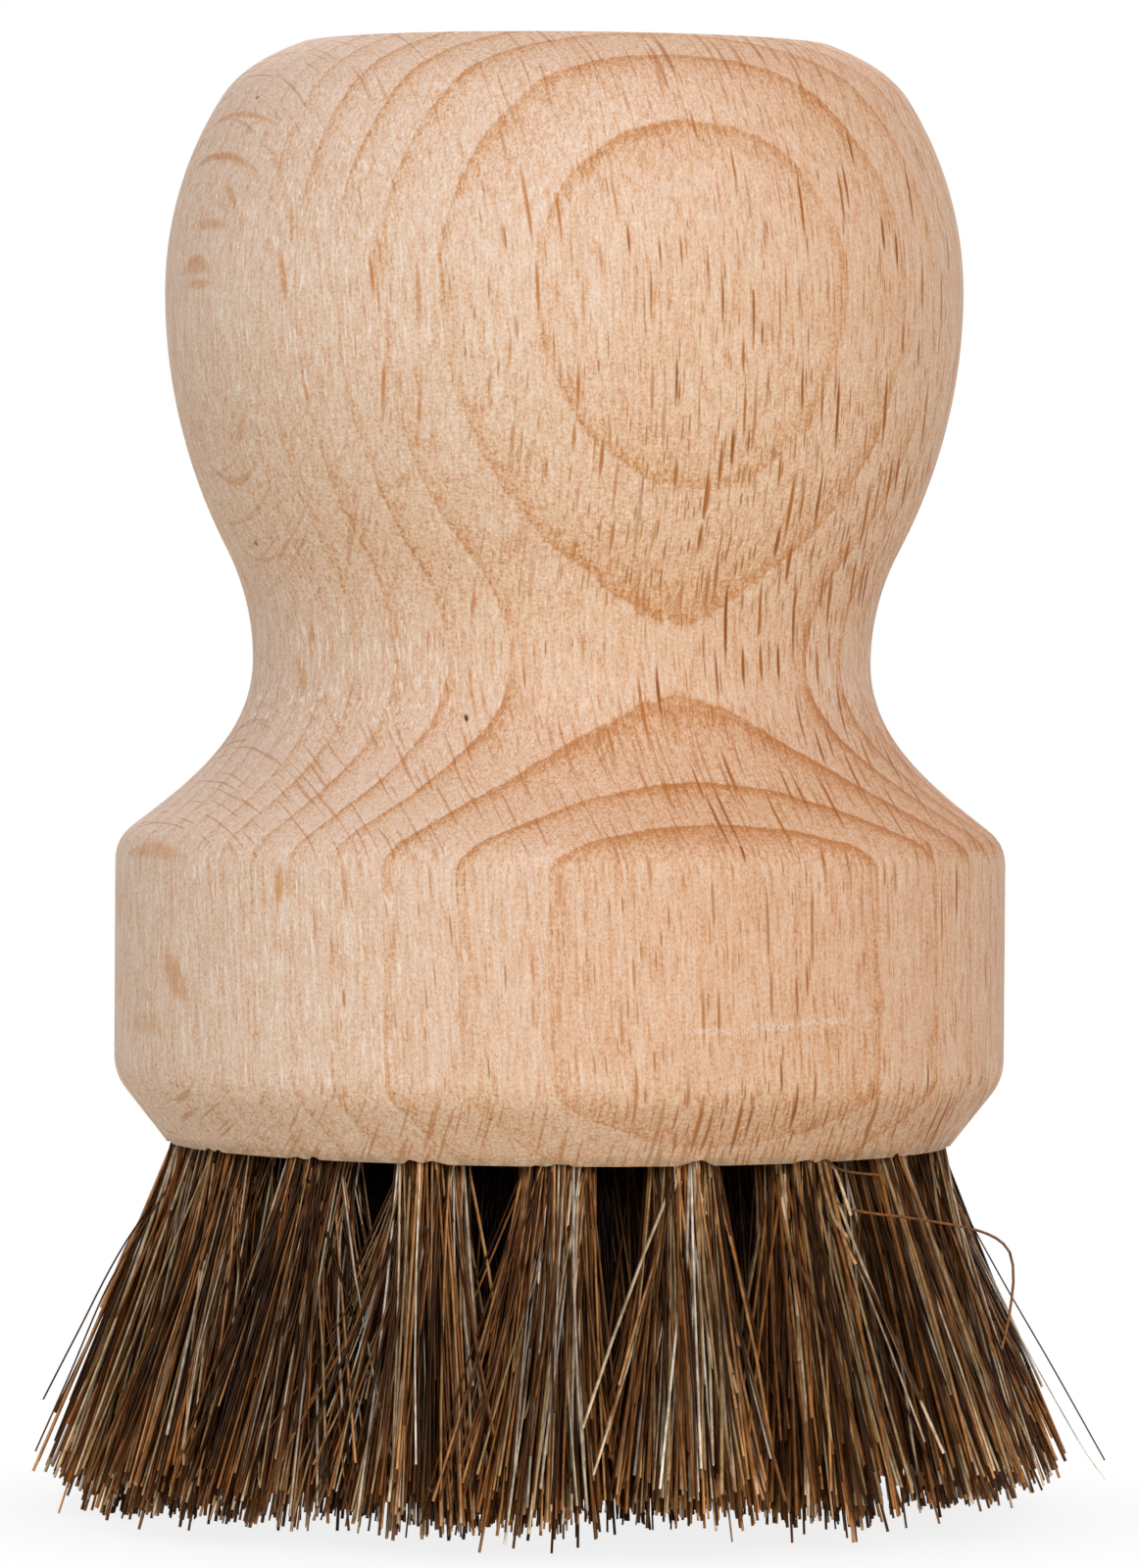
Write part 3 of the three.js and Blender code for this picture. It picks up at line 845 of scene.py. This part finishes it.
def turned_handle_tree():
    tree, nodes, given = tree_with_inputs("turned_and_drilled", {
        "Object": ("Holes",), "Int": ("Sides", "Rows"), "Material": ("Wood",),
        "Float": ("Hole Radius", "Hole Depth", "Mouth Flare", "Mouth Chip", "Underside")})
    here = nodes.add("GeometryNodeInputPosition")

    # Turn the outline round the axis, a row of the grid for each of its points
    seam = nodes.math("ADD", given["Sides"], 1)
    grid = nodes.add("GeometryNodeMeshGrid", 1.0, 1.0, seam, given["Rows"])
    place = nodes.add("ShaderNodeSeparateXYZ", grid.outputs["UV Map"])
    row = nodes.times(place.outputs["Y"], nodes.math("SUBTRACT", given["Rows"], 1))
    row = nodes.math("ROUND", row)
    sample = nodes.add("GeometryNodeSampleIndex", given["Geometry"], data_type="FLOAT_VECTOR",
                       named={"Value": here, "Index": row})
    profile = nodes.add("ShaderNodeSeparateXYZ", sample)
    angle = nodes.times(place.outputs["X"], math.tau)
    east = nodes.times(profile.outputs["X"], nodes.math("COSINE", angle))
    north = nodes.times(profile.outputs["X"], nodes.math("SINE", angle))
    wrapped = nodes.combine(east, north, profile.outputs["Z"])
    turned = nodes.add("GeometryNodeSetPosition", grid.outputs["Mesh"], named={"Position": wrapped})
    turned = nodes.add("GeometryNodeMergeByDistance", turned, named={"Distance": SEAM_GAP})

    # Drill the holes, whose mouths are chipped by the bit
    length = nodes.math("ADD", given["Hole Depth"], BIT_BELOW)
    bit = nodes.add("GeometryNodeMeshCylinder", BIT_SIDES, BIT_ROWS, 1, given["Hole Radius"], length)
    middle = nodes.math("SUBTRACT", nodes.times(length, 0.5), BIT_BELOW)
    bit = nodes.add("GeometryNodeTransform", bit.outputs["Mesh"],
                    named={"Translation": nodes.combine(0.0, 0.0, middle)})
    holes = nodes.add("GeometryNodeObjectInfo", given["Holes"]).outputs["Geometry"]
    turn = nodes.add("FunctionNodeAlignRotationToVector", named={"Vector": nodes.attribute("up")}, axis="Z")
    drilling = nodes.add("GeometryNodeInstanceOnPoints", holes, named={"Instance": bit, "Rotation": turn})
    drilling = nodes.add("GeometryNodeRealizeInstances", drilling)
    depth = nodes.math("SUBTRACT", nodes.part(here, "Z"), given["Underside"])
    near_mouth = nodes.between(depth, CHIPPED_DEPTH, 0.0)
    torn = nodes.between(nodes.noise(here, CHIPS_PER_METRE, 3.0, 0.6), 0.4, 0.65)
    chip = nodes.scaled(torn, given["Mouth Chip"], given["Mouth Flare"])
    chip = nodes.times(near_mouth, chip)
    push = nodes.scale(nodes.add("GeometryNodeInputNormal"), chip)
    drilling = nodes.add("GeometryNodeSetPosition", drilling, named={"Offset": push})
    drilled = nodes.add("GeometryNodeMeshBoolean", turned, drilling, operation="DIFFERENCE", solver="EXACT")

    # Smooth, but for the edges of the underside and of the holes
    sharp = nodes.math("GREATER_THAN", nodes.add("GeometryNodeInputMeshEdgeAngle"), SHARP_EDGE)
    smooth = nodes.math("SUBTRACT", 1.0, sharp)
    drilled = nodes.add("GeometryNodeSetShadeSmooth", drilled, domain="EDGE",
                        named={"Shade Smooth": smooth})
    end_tree(nodes, drilled, given["Wood"])
    return tree


def make_handle(wood):
    profile = handle_profile()
    outline = bpy.data.meshes.new("handle_outline")
    outline.from_pydata(profile, [(i, i + 1) for i in range(len(profile) - 1)], [])
    seats = [seat for step in range(len(RING_NODES)) for seat in hole_seats(step)]
    holes = placed("hole_seats", seats_mesh("hole_seats", seats))
    piece = make_piece("beech_handle", outline, turned_handle_tree(), {
        "Holes": holes, "Sides": HANDLE_SIDES, "Rows": len(profile), "Hole Radius": HOLE_RADIUS,
        "Hole Depth": HOLE_DEPTH, "Mouth Flare": MOUTH_FLARE, "Mouth Chip": MOUTH_CHIP,
        "Underside": UNDERSIDE, "Wood": wood})
    bpy.data.objects.remove(holes)
    return piece


# The tufts

def hairs_of_curves(nodes, given, curves, sides):
    """Ends a tree with a hair along each curve, as thick as its girth says."""
    section = nodes.add("GeometryNodeCurvePrimitiveCircle", named={"Resolution": sides, "Radius": 1.0})
    thickness = nodes.times(nodes.attribute("girth", "FLOAT"), given["Hair Radius"])
    hairs = nodes.add("GeometryNodeCurveToMesh", curves, section.outputs["Curve"],
                      named={"Scale": thickness, "Fill Caps": True})
    end_tree(nodes, nodes.add("GeometryNodeSetShadeSmooth", hairs), given["Hair"])


def tuft_tree():
    tree, nodes, given = tree_with_inputs("splayed_tufts", {
        "Int": ("Hairs", "Points", "Seed"), "Material": ("Hair",),
        "Float": ("Hair Radius", "Packed Radius", "In Hole", "Fan", "Unruly", "Wild", "Reach", "Bend",
                  "Length", "Ragged", "Overlong", "Painted Shade", "Pressed Out", "Cut Slope")})
    seeds = iter(range(100))

    def chance(low=0.0, high=1.0):
        seed = nodes.math("ADD", given["Seed"], next(seeds))
        return nodes.add("FunctionNodeRandomValue", named={"Min": low, "Max": high, "Seed": seed})

    def keep(geometry, name, value, kind="FLOAT_VECTOR"):
        return nodes.add("GeometryNodeStoreNamedAttribute", geometry, data_type=kind,
                         named={"Name": name, "Value": value})

    # Each hole's hairs start spread over its mouth, and each tuft has its own cut and lean
    holes = keep(given["Geometry"], "cut", chance(-1.0, 1.0), "FLOAT")
    lean = nodes.compass(chance(0.0, math.tau))
    holes = keep(holes, "lean", nodes.scale(lean, given["Unruly"]))
    roots = nodes.add("GeometryNodeDuplicateElements", holes, named={"Amount": given["Hairs"]})
    here = nodes.add("GeometryNodeInputPosition")
    around = chance(0.0, math.tau)
    reach = nodes.times(nodes.math("SQRT", chance()), given["Packed Radius"])
    outward = nodes.attribute("outward")
    tangent = nodes.vector("CROSS_PRODUCT", (0, 0, 1), outward)
    sideways = nodes.scale(tangent, nodes.math("SINE", around))
    spread = nodes.vector("ADD", nodes.scale(outward, nodes.math("COSINE", around)), sideways)
    spread = nodes.scale(spread, reach)
    pressed = nodes.scale(outward, given["Pressed Out"])
    mouth = nodes.vector("ADD", here, nodes.vector("ADD", spread, pressed))

    # They lean with the hole, fan out, and stray a little, a few of them a lot
    up = nodes.attribute("up")
    drop = nodes.math("DIVIDE", nodes.part(here, "Z"), nodes.part(up, "Z"))
    foot = nodes.vector("SUBTRACT", here, nodes.scale(up, drop))
    fan = nodes.scale(spread, given["Fan"])
    foot = nodes.vector("ADD", nodes.vector("ADD", foot, fan), nodes.attribute("lean"))
    wild = nodes.times(nodes.math("POWER", chance(), WILD_RARITY), given["Wild"])
    stray = nodes.times(nodes.math("ADD", given["Unruly"], wild), nodes.math("SQRT", chance()))
    drift = nodes.compass(chance(0.0, math.tau))
    foot = nodes.vector("ADD", foot, nodes.scale(drift, stray))
    reached = nodes.between(chance(), 0.0, 1.0, *REACH_SHARES, smooth=False)
    limit = nodes.times(given["Reach"], reached)
    inward = nodes.math("MINIMUM", nodes.math("DIVIDE", limit, nodes.vector("LENGTH", foot)), 1.0)
    foot = nodes.scale(foot, inward)

    # They are cut to about one length; some are broken off and a few are overlong
    heading = nodes.vector("SUBTRACT", foot, mouth)
    to_floor = nodes.times(nodes.vector("LENGTH", heading), FLOOR_SHARE)
    trim = nodes.times(nodes.attribute("cut", "FLOAT"), TUFT_CUT)
    trim = nodes.scaled(nodes.part(mouth, "X"), given["Cut Slope"], trim)
    wisp = nodes.between(nodes.noise(mouth, WISPS_PER_METRE, 1.0), 0.4, 0.6, LONGER_WISP, SHORTER_WISP)
    trim = nodes.math("ADD", trim, wisp)
    uneven = nodes.times(nodes.math("POWER", chance(), RAGGED_RARITY), given["Ragged"])
    overlong = nodes.times(nodes.math("POWER", chance(), OVERLONG_RARITY), given["Overlong"])
    length = nodes.math("SUBTRACT", given["Length"], nodes.math("ADD", trim, uneven))
    length = nodes.math("ADD", length, overlong)
    length = nodes.times(length, nodes.between(chance(), BROKEN_CHANCE, 1.0, 1.0, BROKEN_SHARE))
    length = nodes.math("MINIMUM", length, to_floor)
    tip = nodes.vector("ADD", mouth, nodes.scale(nodes.vector("NORMALIZE", heading), length))

    # Each has its own bend, tone and girth
    bow = nodes.times(chance(-1.0, 1.0), given["Bend"])
    bend = nodes.scale(nodes.compass(chance(0.0, math.tau)), bow)
    bend = nodes.vector("SUBTRACT", bend, nodes.scale(fan, FAN_BEND))
    roots = roots.outputs["Geometry"]
    for name, value in (("mouth", mouth), ("tip", tip), ("bend", bend), ("spread", spread)):
        roots = keep(roots, name, value)
    tone = nodes.swing(nodes.noise(mouth, CLUMPS_PER_METRE), CLUMP_TONES, chance(0.0, HAIR_TONES))
    # The inner rings' tones are lowered as painted shade
    tone = nodes.math("SUBTRACT", tone, given["Painted Shade"])
    roots = keep(roots, "tone", tone, "FLOAT")
    roots = keep(roots, "girth", chance(THINNEST_HAIR, THICKEST_HAIR), "FLOAT")

    # One curve a hair, laid from inside the hole to the tip
    line = nodes.add("GeometryNodeCurvePrimitiveLine")
    line = nodes.add("GeometryNodeResampleCurve", line, named={"Count": given["Points"]})
    hairs = nodes.add("GeometryNodeInstanceOnPoints", roots, named={"Instance": line})
    hairs = nodes.add("GeometryNodeRealizeInstances", hairs)
    step = nodes.add("GeometryNodeSplineParameter").outputs["Factor"]
    first = nodes.math("DIVIDE", 1.0, nodes.math("SUBTRACT", given["Points"], 1))
    inside = nodes.between(step, 0.0, first, 1.0, 0.0, smooth=False)
    outside = nodes.between(step, first, 1.0, smooth=False)
    root = nodes.attribute("mouth")
    straight = nodes.scale(nodes.vector("SUBTRACT", nodes.attribute("tip"), root), outside)
    belly = nodes.times(outside, nodes.math("SUBTRACT", BEND_END, outside))
    curve = nodes.vector("ADD", straight, nodes.scale(nodes.attribute("bend"), belly))
    sunk = nodes.scale(nodes.attribute("up"), nodes.times(inside, given["In Hole"]))
    packed = nodes.scale(nodes.attribute("spread"), nodes.times(inside, -CLOSED_IN_HOLE))
    route = nodes.vector("ADD", nodes.vector("ADD", root, nodes.vector("ADD", sunk, packed)), curve)
    hairs = nodes.add("GeometryNodeSetPosition", hairs, named={"Position": route})
    hairs = keep(hairs, "along", outside, "FLOAT")
    hairs_of_curves(nodes, given, hairs, HAIR_SIDES)
    return tree


def make_tufts(hair):
    """The trimmed hairs of each ring, and the strays that cross the outer ring's tufts."""
    tree = tuft_tree()
    shared = {
        "Hair Radius": HAIR_RADIUS, "Packed Radius": PACKED_RADIUS, "In Hole": HAIR_IN_HOLE, "Fan": 1.8,
        "Reach": HAIR_REACH, "Length": HAIR_LENGTH, "Overlong": 1.6 * MM, "Points": HAIR_POINTS,
        "Pressed Out": HAIR_PRESSED_OUT, "Cut Slope": CUT_SLOPE, "Hair": hair}
    trimmed = {
        "Hairs": HAIRS_PER_TUFT, "Unruly": 1.7 * MM, "Wild": 6 * MM, "Bend": 1.9 * MM, "Ragged": 2.2 * MM}
    straying = {
        "Hairs": STRAYS_PER_TUFT, "Unruly": 4.5 * MM, "Wild": 8 * MM, "Bend": 2.6 * MM, "Ragged": 6 * MM}
    inside = {"Painted Shade": INNER_RINGS_PAINTED_SHADE, "Length": HAIR_LENGTH - INNER_RINGS_SHORTER}

    def ring(name, step, values):
        start = seats_mesh(name + "_seats", hole_seats(step))
        piece = make_piece(name, start, tree, {**shared, **values})
        for spare in ("mouth", "tip", "bend", "spread", "girth", "cut", "lean", "outward", "up"):
            if spare in piece.data.attributes:
                piece.data.attributes.remove(piece.data.attributes[spare])
        return piece

    outermost = len(RING_NODES) - 1
    pieces = {}
    for step, node in enumerate(RING_NODES):
        own = {} if step == outermost else inside
        pieces[node] = ring("horsehair_" + node, step, {**trimmed, **own, "Seed": RING_SEEDS * step})
    strays = ring("horsehair_strays", outermost, {**straying, "Seed": STRAYS_SEED})
    return pieces, strays


def loose_hair_tree():
    tree, nodes, given = tree_with_inputs("loose_hairs", {
        "Float": ("Hair Radius",), "Int": ("Points",), "Material": ("Hair",)})
    hairs = nodes.add("GeometryNodeMeshToCurve", given["Geometry"])
    hairs = nodes.add("GeometryNodeCurveSplineType", hairs, spline_type="CATMULL_ROM")
    hairs = nodes.add("GeometryNodeResampleCurve", hairs, named={"Count": given["Points"]})
    hairs_of_curves(nodes, given, hairs, LOOSE_HAIR_SIDES)
    return tree


def make_loose_hairs(hair, shot):
    """Hairs that run through given pixels of the photo, each from the hole that holds it."""
    bpy.context.view_layer.update()
    eye = shot.matrix_world.translation
    turn = shot.matrix_world.to_3x3()

    def at_pixel(column, row, depth):
        sideways = (column - PHOTO_WIDTH / 2) * PIXEL
        upwards = (PHOTO_HEIGHT / 2 - row) * PIXEL
        ray = turn @ Vector((sideways, upwards, -CAMERA_DISTANCE))
        return eye + ray * ((depth * MM - eye.y) / ray.y)

    points, edges, tones, girths, alongs = [], [], [], [], []
    for tone, girth, course in LOOSE_HAIRS.values():
        for index, pixel in enumerate(course):
            if index:
                edges.append((len(points) - 1, len(points)))
            points.append(at_pixel(*pixel))
            tones.append(tone)
            girths.append(girth)
            alongs.append(index / (len(course) - 1))
    mesh = bpy.data.meshes.new("loose_hairs")
    mesh.from_pydata(points, edges, [])
    for label, values in (("tone", tones), ("girth", girths), ("along", alongs)):
        mesh.attributes.new(label, "FLOAT", "POINT").data.foreach_set("value", values)
    return make_piece("loose_hairs", mesh, loose_hair_tree(), {
        "Hair Radius": HAIR_RADIUS, "Points": LOOSE_HAIR_POINTS, "Hair": hair})


# Stage: the floor is white to the camera, but for a soft shadow round the brush's foot
FLOOR_RADIUS = 0.9
FLOOR_SIDES = 48
FLOOR_MOTTLE = 30.0
FLOOR_COLOURS = ((0.93, 0.93, 0.93), (0.95, 0.95, 0.95))
SHADOW_FADES_FROM = 27 * MM
SHADOW_ENDS_AT = 44 * MM
SHADOW_WHITENESS = 0.84
WORLD_LIGHT = 0.36
# Each lamp's place and width in metres, and its power
LAMPS = {
    "key": ((0.16, -0.85, 0.45), 0.7, 4.9),
    "fill_left": ((-0.6, -0.6, 0.35), 0.6, 0.65),
    "top": ((0.0, -0.1, 0.9), 0.6, 1.2),
    "back": ((0.0, 0.85, 0.45), 0.7, 1.8),
}
LAMP_TARGET = (0, 0, 0.04)


def seen_by_camera(nodes):
    """1 for what the camera sees, mirrored and through glass too, and 0 for what lights the brush."""
    path = nodes.add("ShaderNodeLightPath")
    seen = nodes.math("MAXIMUM", path.outputs["Is Camera Ray"], path.outputs["Is Glossy Ray"])
    return nodes.math("MAXIMUM", seen, path.outputs["Is Transmission Ray"])


def make_floor():
    material, nodes, surface = shader("pale_floor")
    place = nodes.object_place()
    mottled = nodes.mix(nodes.noise(place, FLOOR_MOTTLE), *FLOOR_COLOURS)
    nodes.fill(surface, {"Base Color": mottled, "Roughness": 0.9, "Specular IOR Level": 0.0})
    white = nodes.add("ShaderNodeEmission", (1, 1, 1, 1), 1.0)
    off_axis = nodes.vector("LENGTH", place)
    far = nodes.between(off_axis, SHADOW_FADES_FROM, SHADOW_ENDS_AT, SHADOW_WHITENESS, 1.0)
    cover = nodes.add("ShaderNodeMixShader", nodes.times(far, seen_by_camera(nodes)), surface, white)
    output = material.node_tree.nodes["Material Output"]
    nodes.plug(output.inputs["Surface"], cover)
    mesh = bpy.data.meshes.new("floor")
    turns = [math.tau * side / FLOOR_SIDES for side in range(FLOOR_SIDES)]
    corners = [(math.cos(turn) * FLOOR_RADIUS, math.sin(turn) * FLOOR_RADIUS, 0) for turn in turns]
    mesh.from_pydata(corners, [], [list(range(FLOOR_SIDES))])
    mesh.materials.append(material)
    floor = placed("floor", mesh)


def make_world():
    world = bpy.data.worlds.new("studio")
    bpy.context.scene.world = world
    world.use_nodes = True
    nodes = Nodes(world.node_tree)
    background = world.node_tree.nodes["Background"]
    strength = nodes.between(seen_by_camera(nodes), 0, 1, WORLD_LIGHT, 1.0, smooth=False)
    nodes.fill(background, {"Color": (1, 1, 1, 1), "Strength": strength})


def aim(thing, target):
    thing.rotation_euler = (Vector(target) - thing.location).to_track_quat("-Z", "Y").to_euler()


def make_lamp(name, place, size, power):
    light = bpy.data.lights.new(name, "AREA")
    light.shape = "DISK"
    light.size = size
    light.energy = power
    lamp = placed(name, light)
    lamp.location = place
    aim(lamp, LAMP_TARGET)


def make_camera():
    camera = bpy.data.cameras.new("photo_camera")
    camera.sensor_fit = "VERTICAL"
    camera.sensor_height = SENSOR
    camera.lens = SENSOR * CAMERA_DISTANCE / (PHOTO_HEIGHT * PIXEL)
    camera.clip_start = 10 * MM
    shot = placed("photo_camera", camera)
    side = (PHOTO_WIDTH / 2 - AXIS_COLUMN) * PIXEL
    height = UNDERSIDE + (UNDERSIDE_ROW - HORIZON_ROW) * PIXEL
    middle = UNDERSIDE + (UNDERSIDE_ROW - PHOTO_HEIGHT / 2) * PIXEL
    shot.location = (side, -CAMERA_DISTANCE, height)
    aim(shot, (side, 0, middle))
    shot.rotation_euler.rotate_axis("Z", CAMERA_ROLL)
    bpy.context.scene.camera = shot
    return shot


shot = make_camera()
make_floor()
make_world()
for name, settings in LAMPS.items():
    make_lamp(name, *settings)

hair = horsehair()
handle = make_handle(beech())
tufts, strays = make_tufts(hair)
loose = make_loose_hairs(hair, shot)
wire = anchor_wire()

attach(handle, "root")
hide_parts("handle")
for node, piece in tufts.items():
    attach(piece, "root")
    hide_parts(node)
for piece in (strays, loose):
    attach(piece, "root")
for name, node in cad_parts.items():
    if name.startswith("anchor_"):
        node.data.materials.clear()
        node.data.materials.append(wire)

bpy.context.scene.view_settings.view_transform = "Standard"
